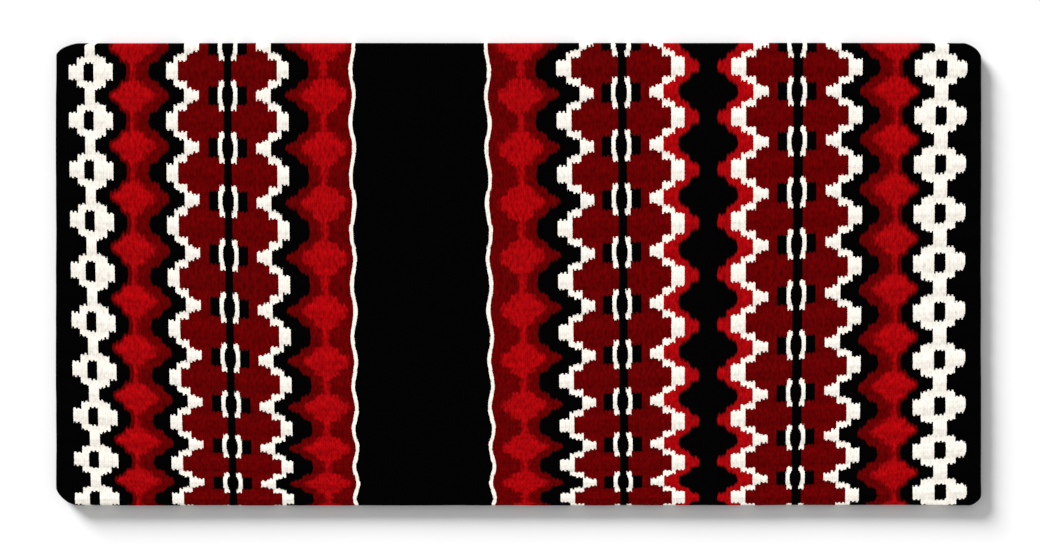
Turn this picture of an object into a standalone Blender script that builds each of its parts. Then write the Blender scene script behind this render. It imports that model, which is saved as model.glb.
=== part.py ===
"""Folded wool saddle blanket, modelled as the weaver makes it.

A square cloth of stiff, weft-faced wool is folded once over its spine and lies flat,
with the near (left) flap on top of the off (right) flap. X runs from the front of the
blanket to its rear, Y from the two hems to the fold, and Z up from the floor. The origin
is under the middle of the folded cloth.

The cloth is first lofted whole, as one U-shaped sheet with rolled edges and rounded
corners. It is then parted into its runs of weft yarn: each stripe of the blanket is one
run, and each run is parted again at the two creases where the cloth opens.

Where a figured stripe meets its neighbour the two runs of weft step into each other, as
tapestry joins do: the join stands out beside each lobe of the figure and turns in at each
notch. The steps lie closer together towards the hem, where the weft is beaten harder,
and all joins wander a little towards the rear there.
"""

import math

import bmesh
import bpy
from mathutils import Matrix, Vector

# Cloth, in metres
CLOTH_THICKNESS = 0.0055
LAYER_GAP = 0.001
FOLDED_DEPTH = 0.482
EDGE_ROLL = 0.002

# Widths of the stripes, from the front edge to the rear edge
FRONT_BORDER_WIDTH = 0.0135
FRONT_CHAIN_WIDTH = 0.0434
FRONT_OUTER_RED_WIDTH = 0.0586
FRONT_MEDALLION_WIDTH = 0.1227
FRONT_INNER_RED_WIDTH = 0.0664
FRONT_LINE_WIDTH = 0.0052
SADDLE_FIELD_WIDTH = 0.1368
REAR_LINE_WIDTH = 0.0053
REAR_INNER_RED_WIDTH = 0.0762
REAR_MEDALLION_FORE_WIDTH = 0.1219
REAR_DIAMOND_WIDTH = 0.0574
REAR_MEDALLION_AFT_WIDTH = 0.1284
REAR_OUTER_RED_WIDTH = 0.0595
REAR_CHAIN_WIDTH = 0.0543
REAR_BORDER_WIDTH = 0.0139

# Figures of the weave: how far a join steps to and fro beside them
CHAIN_STEP = 0.0068
RED_STEP = 0.0088
MEDALLION_STEP = 0.0083
DIAMOND_STEP = 0.0085

# Repeats of the figure, counted from an eye, at the fold and at the hem
FOLD_COUNT = -0.58
HEM_COUNT = 9.24
HEM_COUNT_LEAN = 0.08
HEM_COUNT_BOW = 0.08

# Steps of a join beside one repeat, fold to hem: the share of the repeat from the middle of
# its lobe, and then the share of the join's whole step that it stands out by from there on
BROAD_FIGURE_SHARES = ((-1 / 3, 0), (-1 / 6, 1), (1 / 6, 0), (1 / 3, -1))
NARROW_FIGURE_SHARES = ((-1 / 4, 1), (1 / 4, -1))

# Shares of the folded depth that the beat moves a row: everywhere, and more to the hem
BEAT_SHARES = (-0.034, -0.038)
HEM_BEAT_SHARES = (0.484, -0.029, -0.301)

# The joins wander to the rear at the hem, less so the nearer they are to the still place
HEM_WANDER = 0.0077
STILL_LENGTH_SHARE = 0.675

# No step lies closer to the hem than this
LAST_STEP_INSET = 0.004

# Rounded corners: how far each takes in the end of the cloth, and over what depth
FRONT_HEM_CORNER_WIDTH = 0.020
FRONT_HEM_CORNER_DEPTH = 0.017
REAR_HEM_CORNER_WIDTH = 0.011
REAR_HEM_CORNER_DEPTH = 0.009
FRONT_FOLD_CORNER_DEPTH = 0.013
REAR_FOLD_CORNER_DEPTH = 0.014

# At the fold the corners take in this much of the border stripes, which run on round it
FRONT_FOLD_CORNER_SHARE = 0.85
REAR_FOLD_CORNER_SHARE = 0.85

# Selvage warp, the thick cord woven in along each hem
SELVAGE_DIAMETER = 0.0024
SELVAGE_INSET = 0.005
SELVAGE_END_COVER = 0.002

# Clearances
YARN_GAP = 0.0003
SELVAGE_CLEARANCE = 0.0003
CUTTER_OVERRUN = 0.02
WELD_DISTANCE = 0.000003

# Facets
BEND_FACETS = 12
WANDER_FACETS = 3
CORNER_FACETS = 6
ROLL_FACETS = 2
SELVAGE_RESOLUTION = 2

# The creases part the bend into quarters: one quarter stays with each flap
CREASE_SHARE = 0.25

BLACK = (0.006, 0.006, 0.007)
CREAM = (0.86, 0.82, 0.74)
RED = (0.42, 0.004, 0.012)
DARK_RED = (0.13, 0.002, 0.004)
WOOL_ROUGHNESS = 0.95

# How a stripe joins the next one: the length of a step, which is to the rear beside the
# lobes where it is positive, and the shares of its steps
STRAIGHT = (0, ())
CHAIN_JOIN = (CHAIN_STEP, NARROW_FIGURE_SHARES)
RED_JOIN = (-RED_STEP, BROAD_FIGURE_SHARES)
MEDALLION_JOIN = (MEDALLION_STEP, BROAD_FIGURE_SHARES)
DIAMOND_JOIN = (DIAMOND_STEP, BROAD_FIGURE_SHARES)
MIRRORED_CHAIN_JOIN = (-CHAIN_STEP, NARROW_FIGURE_SHARES)
MIRRORED_RED_JOIN = (RED_STEP, BROAD_FIGURE_SHARES)
MIRRORED_MEDALLION_JOIN = (-MEDALLION_STEP, BROAD_FIGURE_SHARES)
MIRRORED_DIAMOND_JOIN = (-DIAMOND_STEP, BROAD_FIGURE_SHARES)

# Each stripe's name, width, yarn and join with the next stripe
STRIPES = (
    ("front_border", FRONT_BORDER_WIDTH, BLACK, STRAIGHT),
    ("front_chain", FRONT_CHAIN_WIDTH, CREAM, CHAIN_JOIN),
    ("front_outer_red", FRONT_OUTER_RED_WIDTH, RED, RED_JOIN),
    ("front_medallion", FRONT_MEDALLION_WIDTH, DARK_RED, MEDALLION_JOIN),
    ("front_inner_red", FRONT_INNER_RED_WIDTH, RED, STRAIGHT),
    ("front_line", FRONT_LINE_WIDTH, CREAM, STRAIGHT),
    ("saddle_field", SADDLE_FIELD_WIDTH, BLACK, STRAIGHT),
    ("rear_line", REAR_LINE_WIDTH, CREAM, STRAIGHT),
    ("rear_inner_red", REAR_INNER_RED_WIDTH, RED, MIRRORED_MEDALLION_JOIN),
    ("rear_medallion_fore", REAR_MEDALLION_FORE_WIDTH, DARK_RED, DIAMOND_JOIN),
    ("rear_diamond", REAR_DIAMOND_WIDTH, BLACK, MIRRORED_DIAMOND_JOIN),
    ("rear_medallion_aft", REAR_MEDALLION_AFT_WIDTH, DARK_RED, MIRRORED_RED_JOIN),
    ("rear_outer_red", REAR_OUTER_RED_WIDTH, RED, MIRRORED_CHAIN_JOIN),
    ("rear_chain", REAR_CHAIN_WIDTH, CREAM, STRAIGHT),
    ("rear_border", REAR_BORDER_WIDTH, BLACK, STRAIGHT),
)

# Sizes worked out from the ones above
HALF_THICKNESS = CLOTH_THICKNESS / 2
STACK_HEIGHT = 2 * CLOTH_THICKNESS + LAYER_GAP
MIDDLE_Z = STACK_HEIGHT / 2
BLANKET_LENGTH = sum(width for _, width, _, _ in STRIPES)
FRONT_X = -BLANKET_LENGTH / 2
REAR_X = BLANKET_LENGTH / 2
HEM_Y = -FOLDED_DEPTH / 2

BEND_RADIUS = (CLOTH_THICKNESS + LAYER_GAP) / 2
BEND_STEP = math.pi / BEND_FACETS
FACET_SPREAD = 1 / math.cos(BEND_STEP / 2)
BEND_OUTER_RADIUS = BEND_RADIUS + HALF_THICKNESS * FACET_SPREAD
FOLD_Y = FOLDED_DEPTH / 2 - BEND_OUTER_RADIUS
FRONT_FOLD_CORNER_WIDTH = FRONT_BORDER_WIDTH * FRONT_FOLD_CORNER_SHARE
REAR_FOLD_CORNER_WIDTH = REAR_BORDER_WIDTH * REAR_FOLD_CORNER_SHARE
CREASE_ANGLE = math.pi * CREASE_SHARE
SELVAGE_Y = HEM_Y + SELVAGE_INSET


def clear_scene():
    """Remove whatever the scene holds."""
    for obj in list(bpy.data.objects):
        bpy.data.objects.remove(obj)


def new_collection(name):
    """Make a collection in the scene."""
    collection = bpy.data.collections.new(name)
    bpy.context.scene.collection.children.link(collection)
    return collection


def wool(name, colour):
    """Dyed wool yarn."""
    material = bpy.data.materials.new(name)
    material.use_nodes = True
    shader = material.node_tree.nodes["Principled BSDF"]
    shader.inputs["Base Color"].default_value = (*colour, 1)
    shader.inputs["Roughness"].default_value = WOOL_ROUGHNESS
    shader.inputs["Metallic"].default_value = 0
    material.diffuse_color = (*colour, 1)
    return material


def corner_inset(width, depth, distance):
    """How far an elliptic corner takes in the end of the cloth, at a distance from its edge."""
    if distance >= depth:
        return 0
    share = 1 - distance / depth
    return width * (1 - math.sqrt(1 - share * share))


def cloth_ends(y):
    """Front and rear end of the cloth at a depth, seen from above."""
    to_hem = y - HEM_Y
    to_fold = FOLDED_DEPTH / 2 - y
    front = FRONT_X
    front += corner_inset(FRONT_HEM_CORNER_WIDTH, FRONT_HEM_CORNER_DEPTH, to_hem)
    front += corner_inset(FRONT_FOLD_CORNER_WIDTH, FRONT_FOLD_CORNER_DEPTH, to_fold)
    rear = REAR_X
    rear -= corner_inset(REAR_HEM_CORNER_WIDTH, REAR_HEM_CORNER_DEPTH, to_hem)
    rear -= corner_inset(REAR_FOLD_CORNER_WIDTH, REAR_FOLD_CORNER_DEPTH, to_fold)
    return front, rear


def rolled_half_thickness(distance):
    """Half the cloth's thickness at a distance from its hem, where the edge is rolled."""
    if distance >= EDGE_ROLL:
        return HALF_THICKNESS
    rise = math.sqrt(EDGE_ROLL ** 2 - (EDGE_ROLL - distance) ** 2)
    return HALF_THICKNESS - EDGE_ROLL + rise


def flap_depths():
    """Depths of the sections along a flat flap, from its hem to where the bend starts."""
    hem_corner = max(FRONT_HEM_CORNER_DEPTH, REAR_HEM_CORNER_DEPTH)
    quarter = math.pi / 2
    depths = []
    for step in range(CORNER_FACETS + 1):
        turn = quarter * step / CORNER_FACETS
        depths.append(HEM_Y + hem_corner * (1 - math.cos(turn)))
    fold_corner = max(FRONT_FOLD_CORNER_DEPTH, REAR_FOLD_CORNER_DEPTH)
    corner_start = FOLDED_DEPTH / 2 - fold_corner
    if corner_start < FOLD_Y:
        depths.append(corner_start)
        depths.append((corner_start + FOLD_Y) / 2)
    return depths


def section_points(y_outside, half_thickness):
    """Points round one section of the cloth, as (x, height from the middle of the cloth)."""
    front, rear = cloth_ends(y_outside)
    flat = HALF_THICKNESS - EDGE_ROLL
    squash = half_thickness / HALF_THICKNESS
    quarter = math.pi / 2
    rolls = (
        (rear - EDGE_ROLL, -flat),
        (rear - EDGE_ROLL, flat),
        (front + EDGE_ROLL, flat),
        (front + EDGE_ROLL, -flat),
    )
    points = []
    for corner, (x, height) in enumerate(rolls):
        for step in range(ROLL_FACETS + 1):
            turn = quarter * (corner - 1 + step / ROLL_FACETS)
            rise = height + EDGE_ROLL * math.sin(turn)
            points.append((x + EDGE_ROLL * math.cos(turn), rise * squash))
    return points


def path_stations():
    """Middle point, upward normal and half thickness of each section, hem to hem."""
    stations = []
    flap = flap_depths()
    top_z = MIDDLE_Z + BEND_RADIUS
    bottom_z = MIDDLE_Z - BEND_RADIUS
    for y in flap:
        thickness = rolled_half_thickness(y - HEM_Y)
        stations.append((Vector((0, y, top_z)), Vector((0, 0, 1)), thickness, y))
    for facet in range(BEND_FACETS + 1):
        angle = BEND_STEP * facet
        outward = Vector((0, math.sin(angle), math.cos(angle)))
        middle = Vector((0, FOLD_Y, MIDDLE_Z)) + BEND_RADIUS * outward
        spread = 1 if facet in (0, BEND_FACETS) else FACET_SPREAD
        y_outside = FOLD_Y + BEND_OUTER_RADIUS * math.sin(angle)
        stations.append((middle, outward, HALF_THICKNESS * spread, y_outside))
    for y in reversed(flap):
        thickness = rolled_half_thickness(y - HEM_Y)
        stations.append((Vector((0, y, bottom_z)), Vector((0, 0, -1)), thickness, y))
    return stations


def folded_cloth():
    """The whole cloth as one solid, lofted section by section along its fold."""
    mesh = bpy.data.meshes.new("folded_cloth")
    shape = bmesh.new()
    loops = []
    for middle, normal, half_thickness, y_outside in path_stations():
        loop = []
        for x, height in section_points(y_outside, half_thickness):
            place = middle + normal * height
            loop.append(shape.verts.new((x, place.y, place.z)))
        loops.append(loop)
    for before, after in zip(loops, loops[1:]):
        for index, corner in enumerate(before):
            neighbour = (index + 1) % len(before)
            shape.faces.new((corner, before[neighbour], after[neighbour], after[index]))
    shape.faces.new(loops[0])
    shape.faces.new(loops[-1])
    bmesh.ops.recalc_face_normals(shape, faces=shape.faces)
    shape.to_mesh(mesh)
    shape.free()
    return mesh


def row_y(x, count):
    """Depth of a row of the weave, by its count of repeats and its place along the blanket."""
    side = 2 * x / BLANKET_LENGTH
    hem_count = HEM_COUNT + HEM_COUNT_LEAN * side + HEM_COUNT_BOW * side * side
    row = (count - FOLD_COUNT) / (hem_count - FOLD_COUNT)
    beat = BEAT_SHARES[0] + BEAT_SHARES[1] * side
    hem_beat = HEM_BEAT_SHARES[0] + HEM_BEAT_SHARES[1] * side + HEM_BEAT_SHARES[2] * side * side
    share = row + row * (1 - row) * (beat + row * hem_beat)
    return FOLDED_DEPTH / 2 - FOLDED_DEPTH * share


def wandered(x, y):
    """Where a join stands at a depth, having wandered towards the rear on its way to the hem."""
    share = (FOLDED_DEPTH / 2 - y) / FOLDED_DEPTH
    still = FRONT_X + BLANKET_LENGTH * STILL_LENGTH_SHARE
    return x + HEM_WANDER * share * share * (still - x) / (still - FRONT_X)


def plain_join(x, side):
    """Points of one side (-1 front, 1 rear) of a join that doesn't step, from fold to hem."""
    points = [(x + side * YARN_GAP / 2, FOLDED_DEPTH / 2 + CUTTER_OVERRUN)]
    for facet in range(WANDER_FACETS + 1):
        y = FOLDED_DEPTH / 2 - FOLDED_DEPTH * facet / WANDER_FACETS
        points.append((wandered(x, y) + side * YARN_GAP / 2, y))
    points.append((points[-1][0], HEM_Y - CUTTER_OVERRUN))
    return points


def join_steps(x, figure_shares):
    """Depth of each step of a join, fold to hem, and how far it stands out from there on."""
    steps = []
    lobe = 0
    last_y = HEM_Y + LAST_STEP_INSET
    while row_y(x, lobe + figure_shares[0][0]) > last_y:
        for share, reach_share in figure_shares:
            y = row_y(x, lobe + share)
            if y > last_y:
                steps.append((y, reach_share))
        lobe += 1
    return steps


def stepped_join(x, step, figure_shares, side):
    """Points of one side (-1 front, 1 rear) of a join that steps beside a figure."""
    points = []
    above = FOLDED_DEPTH / 2 + CUTTER_OVERRUN
    reach_share = figure_shares[-1][1]
    hem_end = (HEM_Y - CUTTER_OVERRUN, reach_share)
    for below, next_share in join_steps(x, figure_shares) + [hem_end]:
        run_x = wandered(x, (above + below) / 2) + step * reach_share + side * YARN_GAP / 2
        points.append((run_x, above))
        points.append((run_x, below))
        above, reach_share = below, next_share
    for index in range(1, len(points) - 1, 2):
        (x_above, y), (x_below, _) = points[index], points[index + 1]
        y += side * math.copysign(YARN_GAP / 2, x_below - x_above)
        points[index], points[index + 1] = (x_above, y), (x_below, y)
    return points


def cloth_end(x):
    """Points of a cutter's side beyond an end of the cloth."""
    return [(x, FOLDED_DEPTH / 2 + CUTTER_OVERRUN), (x, HEM_Y - CUTTER_OVERRUN)]


def join_side(x, join, side):
    """Points of one side (-1 front, 1 rear) of a join."""
    step, figure_shares = join
    if not step:
        return plain_join(x, side)
    return stepped_join(x, step, figure_shares, side)


def add_cutter(name, mesh, collection):
    """Show a cutter as wire only."""
    cutter = bpy.data.objects.new(name, mesh)
    cutter.hide_render = True
    cutter.display_type = "WIRE"
    collection.objects.link(cutter)
    return cutter


def curve_to_cutter(curve, collection):
    """Turn a filled curve into a closed mesh cutter with welded caps."""
    bpy.context.view_layer.update()
    graph = bpy.context.evaluated_depsgraph_get()
    mesh = bpy.data.meshes.new_from_object(curve.evaluated_get(graph))
    shape = bmesh.new()
    shape.from_mesh(mesh)
    bmesh.ops.remove_doubles(shape, verts=shape.verts, dist=WELD_DISTANCE)
    shape.to_mesh(mesh)
    shape.free()
    cutter = add_cutter(curve.name + "_cutter", mesh, collection)
    cutter.matrix_world = curve.matrix_world
    bpy.data.objects.remove(curve)
    return cutter


def outline_cutter(name, outline, half_length, place, collection):
    """A cutter with an outline in its own X and Y, drawn out along its Z."""
    data = bpy.data.curves.new(name, "CURVE")
    data.dimensions = "2D"
    data.fill_mode = "BOTH"
    data.extrude = half_length
    spline = data.splines.new("POLY")
    spline.points.add(len(outline) - 1)
    for point, (across, up) in zip(spline.points, outline):
        point.co = (across, up, 0, 1)
    spline.use_cyclic_u = True
    curve = bpy.data.objects.new(name, data)
    curve.matrix_world = place
    collection.objects.link(curve)
    return curve_to_cutter(curve, collection)


def section_cutter(name, outline, collection):
    """A cutter with an outline of (y, z) points, longer than the blanket along X."""
    place = Matrix(((0, 0, 1, 0), (1, 0, 0, 0), (0, 1, 0, 0), (0, 0, 0, 1)))
    half_length = BLANKET_LENGTH / 2 + CUTTER_OVERRUN
    return outline_cutter(name, outline, half_length, place, collection)


def stripe_cutter(name, front, rear, collection):
    """A cutter between two joins seen from above, taller than the folded cloth."""
    place = Matrix.Translation((0, 0, MIDDLE_Z))
    half_height = STACK_HEIGHT / 2 + CUTTER_OVERRUN
    return outline_cutter(name, front + rear[::-1], half_height, place, collection)


def flap_cutter(name, upward, collection):
    """Holds one flap and its quarter of the bend, up to its crease."""
    reach = FOLDED_DEPTH + CUTTER_OVERRUN
    along = Vector((math.sin(CREASE_ANGLE), upward * math.cos(CREASE_ANGLE)))
    across = Vector((-along.y, along.x)) * upward
    apex = Vector((FOLD_Y, MIDDLE_Z)) + across * YARN_GAP / 2
    top = apex + along * reach
    behind = apex.x - reach
    outline = (apex, top, (behind, top.y), (behind, apex.y))
    return section_cutter(name, outline, collection)


def spine_cutter(name, collection):
    """Holds the half of the bend between the two creases."""
    apex = Vector((FOLD_Y + YARN_GAP / 2 / math.sin(CREASE_ANGLE), MIDDLE_Z))
    reach = BEND_OUTER_RADIUS + CUTTER_OVERRUN
    along = Vector((math.sin(CREASE_ANGLE), math.cos(CREASE_ANGLE))) * reach
    outline = (apex, (apex.x + along.x, apex.y - along.y), apex + along)
    return section_cutter(name, outline, collection)


def selvage_ends():
    """Front and rear end of a selvage warp, under its cover of weft."""
    front, rear = cloth_ends(SELVAGE_Y - SELVAGE_DIAMETER / 2)
    cover = SELVAGE_END_COVER + EDGE_ROLL
    return front + cover, rear - cover


def selvage_curve(name, z, radius, x_from, x_to, collection):
    """A straight round cord along a hem."""
    data = bpy.data.curves.new(name, "CURVE")
    data.dimensions = "3D"
    data.bevel_depth = radius
    data.bevel_resolution = SELVAGE_RESOLUTION
    data.use_fill_caps = True
    spline = data.splines.new("POLY")
    spline.points.add(1)
    spline.points[0].co = (x_from, SELVAGE_Y, z, 1)
    spline.points[1].co = (x_to, SELVAGE_Y, z, 1)
    curve = bpy.data.objects.new(name, data)
    collection.objects.link(curve)
    return curve


def selvage_bore(name, z, collection):
    """The bore that a selvage warp lies in."""
    x_from, x_to = selvage_ends()
    radius = SELVAGE_DIAMETER / 2 + SELVAGE_CLEARANCE
    x_from -= SELVAGE_CLEARANCE
    x_to += SELVAGE_CLEARANCE
    curve = selvage_curve(name, z, radius, x_from, x_to, collection)
    return curve_to_cutter(curve, collection)


def fold_axis(name, upward, parent, collection):
    """An empty on the outside of the bend, where the cloth hinges at a crease."""
    axis = bpy.data.objects.new(name, None)
    y = FOLD_Y + BEND_OUTER_RADIUS * math.sin(CREASE_ANGLE)
    z = MIDDLE_Z + upward * BEND_OUTER_RADIUS * math.cos(CREASE_ANGLE)
    axis.location = (0, y, z)
    collection.objects.link(axis)
    bpy.context.view_layer.update()
    hang_on(axis, parent)
    return axis


def hang_on(obj, parent):
    """Parent an object where it is."""
    if parent is None:
        return
    obj.parent = parent
    obj.matrix_parent_inverse = parent.matrix_world.inverted()
    bpy.context.view_layer.update()


def cut(obj, cutter, operation):
    """Cut an object with a Boolean that stays on it."""
    modifier = obj.modifiers.new(cutter.name, "BOOLEAN")
    modifier.operation = operation
    modifier.solver = "EXACT"
    modifier.object = cutter


def weft_run(name, cloth, material, keep, bore, parent, collection):
    """One stripe's run of weft on one part of the blanket."""
    run = bpy.data.objects.new(name, cloth)
    collection.objects.link(run)
    run.material_slots[0].link = "OBJECT"
    run.material_slots[0].material = material
    for cutter in keep:
        cut(run, cutter, "INTERSECT")
    if bore is not None:
        cut(run, bore, "DIFFERENCE")
    hang_on(run, parent)
    return run


def stripe_cutters(collection):
    """One cutter per stripe, with half a gap on each side that has a neighbour."""
    cutters = []
    x = FRONT_X
    front = cloth_end(FRONT_X - CUTTER_OVERRUN)
    last = len(STRIPES) - 1
    for index, (name, width, _, join) in enumerate(STRIPES):
        x += width
        if index == last:
            rear = cloth_end(REAR_X + CUTTER_OVERRUN)
        else:
            rear = join_side(x, join, -1)
        cutters.append(stripe_cutter(name, front, rear, collection))
        front = join_side(x, join, 1)
    return cutters


def build():
    """Model the blanket."""
    clear_scene()
    blanket = new_collection("saddle_blanket")
    cutters = new_collection("cutters")

    wools = {colour: wool(name, colour) for name, colour in (
        ("black_wool", BLACK),
        ("cream_wool", CREAM),
        ("red_wool", RED),
        ("dark_red_wool", DARK_RED),
    )}
    cloth = folded_cloth()
    cloth.materials.append(wools[BLACK])

    spine_axis = fold_axis("off_fold_axis", -1, None, blanket)
    near_axis = fold_axis("near_fold_axis", 1, spine_axis, blanket)
    flap_z = {"near": MIDDLE_Z + BEND_RADIUS, "off": MIDDLE_Z - BEND_RADIUS}
    parts = {
        "off": (flap_cutter("off_flap", -1, cutters), None),
        "spine": (spine_cutter("spine", cutters), spine_axis),
        "near": (flap_cutter("near_flap", 1, cutters), near_axis),
    }
    stripes = stripe_cutters(cutters)
    x_from, x_to = selvage_ends()
    for part, (part_cutter, axis) in parts.items():
        bore = None
        if part in flap_z:
            bore = selvage_bore(part + "_bore", flap_z[part], cutters)
            radius = SELVAGE_DIAMETER / 2
            name = part + "_selvage_warp"
            cord = selvage_curve(name, flap_z[part], radius, x_from, x_to, blanket)
            cord.data.materials.append(wools[BLACK])
            hang_on(cord, axis)
        for (name, _, colour, _), cutter in zip(STRIPES, stripes):
            keep = (part_cutter, cutter)
            weft_run(part + "_" + name, cloth, wools[colour], keep, bore, axis, blanket)


build()
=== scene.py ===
"""Woven wool saddle blanket, folded once over its spine and lying flat.

The frame gives the folded cloth's size, its three bodies and its two creases. Every stripe
of the blanket is woven here as two pieces, one for the near (upper) flap and one for the
off (lower) flap, which meet at the crest of the fold. A piece starts as a flat grid of
warps and picks, gets its thickness, and is then laid in its fold. Its map named "yarn"
counts millimetres across the stripe and repeats of the motif along it, and the wool
materials weave the tapestry from that count, pick by pick.
"""

import bisect
import math
from collections import namedtuple

import bmesh
import bpy
from mathutils import Matrix, Vector, noise


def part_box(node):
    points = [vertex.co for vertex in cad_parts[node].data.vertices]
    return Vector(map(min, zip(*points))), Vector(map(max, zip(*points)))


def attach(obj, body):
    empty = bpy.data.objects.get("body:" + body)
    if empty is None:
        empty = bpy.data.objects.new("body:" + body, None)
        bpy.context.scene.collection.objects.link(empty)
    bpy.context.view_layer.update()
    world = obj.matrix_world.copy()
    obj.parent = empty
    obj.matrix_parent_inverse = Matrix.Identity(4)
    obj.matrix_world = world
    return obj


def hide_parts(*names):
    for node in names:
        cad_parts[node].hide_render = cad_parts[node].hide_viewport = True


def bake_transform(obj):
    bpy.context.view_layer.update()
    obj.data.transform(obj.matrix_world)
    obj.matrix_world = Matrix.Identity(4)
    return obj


bl_info = {
    "name": "Folded wool saddle blanket",
    "version": (1, 0, 0),
    "blender": (4, 5, 0),
    "location": "View3D > Sidebar > Blanket",
    "description": "Weaves a folded wool saddle blanket and sets its stage",
    "category": "Object",
}

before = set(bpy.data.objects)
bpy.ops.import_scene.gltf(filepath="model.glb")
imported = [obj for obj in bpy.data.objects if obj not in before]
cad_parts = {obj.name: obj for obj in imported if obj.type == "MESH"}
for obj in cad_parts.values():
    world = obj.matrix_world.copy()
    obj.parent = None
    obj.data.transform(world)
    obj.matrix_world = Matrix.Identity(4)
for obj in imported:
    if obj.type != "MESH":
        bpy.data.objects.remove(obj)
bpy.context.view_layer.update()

MM = 0.001

# Cloth
CLOTH_THICKNESS = 5.5 * MM
NEAR_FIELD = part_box("near_saddle_field")
OFF_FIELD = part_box("off_saddle_field")
SPINE_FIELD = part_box("spine_saddle_field")
FRONT_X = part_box("off_front_border")[0].x
REAR_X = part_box("off_rear_border")[1].x
HEM_Y = NEAR_FIELD[0].y
CREST_Y = SPINE_FIELD[1].y
TOP_Z = NEAR_FIELD[1].z
FLOOR_Z = OFF_FIELD[0].z

HALF_THICKNESS = CLOTH_THICKNESS / 2
MIDDLE_X = (FRONT_X + REAR_X) / 2
MIDDLE_Z = (TOP_Z + FLOOR_Z) / 2
BLANKET_LENGTH = REAR_X - FRONT_X
BEND_RADIUS = (TOP_Z - FLOOR_Z) / 2 - HALF_THICKNESS
FOLD_Y = CREST_Y - BEND_RADIUS - HALF_THICKNESS
BEND_PATH = BEND_RADIUS * math.pi / 2
FLAP_PATH = FOLD_Y - HEM_Y + BEND_PATH

# Counts of the weave: repeats of the motif from the crest to the hem, where they differ from
# one end of the blanket to the other and in its middle
CREST_REPEAT = -0.58
HEM_REPEAT = 9.24
HEM_REPEAT_LEAN = 0.08
HEM_REPEAT_BOW = 0.08
BEADS_PER_REPEAT = 8
RIDGES_PER_REPEAT = 2

# How the beat packs the weft: shares of the depth that a row sits off its even place
PACKING = (-0.034, -0.038)
PACKING_TO_HEM = (0.484, -0.029, -0.301)

# How the hand-beaten rows and stripes stray from even. At each place along the blanket, in
# millimetres: how far the stripes drift to the rear at the crest, halfway and at the hem,
# and how far the motifs slip to the hem at the crest, at each third and at the hem
Stray = namedtuple("Stray", "place drift slip")
STRAYS = (
    Stray(20, (-0.2, 2.4, 7), (2.5, -1.5, -1, 2.5)),
    Stray(75, (0, 2.2, 7.5), (0.5, 0, 0, 1)),
    Stray(150, (0.8, 2, 7), (-0.5, 1, 2, 0)),
    Stray(215, (0.2, 1.8, 6.5), (-1.5, 2.5, 4.5, 0)),
    Stray(300, (0, 1.5, 5), (-2, 2.5, 4, -2.5)),
    Stray(450, (-1.5, 1.1, 5), (-1, 4, 2.5, -3)),
    Stray(500, (-1.5, 0.9, 3.7), (-2.5, 2, 0.5, -3)),
    Stray(560, (-1.5, 0.7, 3), (-5.5, 1.5, -1, 0)),
    Stray(640, (0.5, 0.5, 1), (-6, 0, -1, 0)),
    Stray(720, (1, 0.3, 0), (-5, 0, -1, 1.5)),
    Stray(800, (1, 0.1, -2.5), (-3, -0.5, 0, 2.5)),
    Stray(855, (1.2, -0.1, -3.5), (-3, 0, 0.5, 3)),
    Stray(890, (2, -0.2, -1), (-2.5, 2, 2.5, 2)),
    Stray(935, (2.5, -0.4, 1.5), (-0.5, 3.5, 4.5, 2)),
)
REPEAT_LENGTH = 49.2

# Mesh: rows and columns of the grid, as shares of a flap's length and of a stripe's width
ROWS_PER_BEAD = 6
BEND_ROWS = 10
ROLLED_ROWS = (0.008, 0.0045, 0.002, 0.0006, 0)
COLUMN_WIDTH = 9 * MM
BORDER_COLUMNS = (0, 0.01, 0.04, 0.085, 0.15, 0.35, 0.65, 1)
CHAIN_COLUMNS = (0, 0.025, 0.06, 0.12, 0.25, 0.4, 0.6, 0.8, 1)
LEAST_BORDER = 0.6 * MM

# Edges of the cloth: how they roll over, and where their slow stray from straight is read.
# The selvages of both flaps stray as one near the fold, and apart within a short way of it
EDGE_ROLL = 2 * MM
EDGE_MARGIN = 0.3 * MM
SLOW_STRAY = 9
SLOW_SEED = 0.5
QUICK_STRAY = 31
QUICK_SEED = 4.5
QUICK_SHARE = 0.5
FRONT_STRAY = 2
REAR_STRAY = 9
OFF_STRAY = -5
STRAYS_APART = 60 * MM
HEM_STRAYS = {1: 11, -1: 17}

# Lift of the cloth off the floor: humps to a metre, their middle height, and the depth from
# the fold at which it is in full
LIFT_HUMPS = 5.5
LIFT_SEED = 1.7
LIFT_MIDDLE = 0.35
LIFT_REACH = 90 * MM

# Selvage cord: length of a step and of a whole twist, and how flat its two plies lie
CORD_STEP = 1.2 * MM
CORD_LAY = 12 * MM
CORD_SIDES = 8
PLY_FLATNESS = 0.65
CORD_FIBRES = (300, 4000, 4000)

# Rounded corners, width and depth, and how full they are: 1 is a chamfer and 2 an ellipse
CORNER_POWER = 1.5
FRONT_HEM_CORNER = (21 * MM, 18 * MM)
REAR_HEM_CORNER = (12 * MM, 10 * MM)
FRONT_FOLD_CORNER = (22 * MM, 13 * MM)
REAR_FOLD_CORNER = (17 * MM, 15 * MM)

Join = namedtuple("Join", "place wave")
Stripe = namedtuple("Stripe", "name centre facing finish slot")

# Joins between stripes, in millimetres: distance from the front edge, and how far each weaves
# to and fro
JOINS = tuple(Join(place * MM, wave * MM) for place, wave in (
    (12.8, 0), (56.9, 6.8), (115.5, -8.8), (238.2, 8.3), (306.2, -1.8), (310.7, -1.8),
    (448.3, 1.8), (452.8, 1.8), (528.1, -8.3), (650, 8.5), (707.4, -8.5), (835.8, 8.5),
    (895.3, -6.8), (949.6, 0)))

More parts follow.
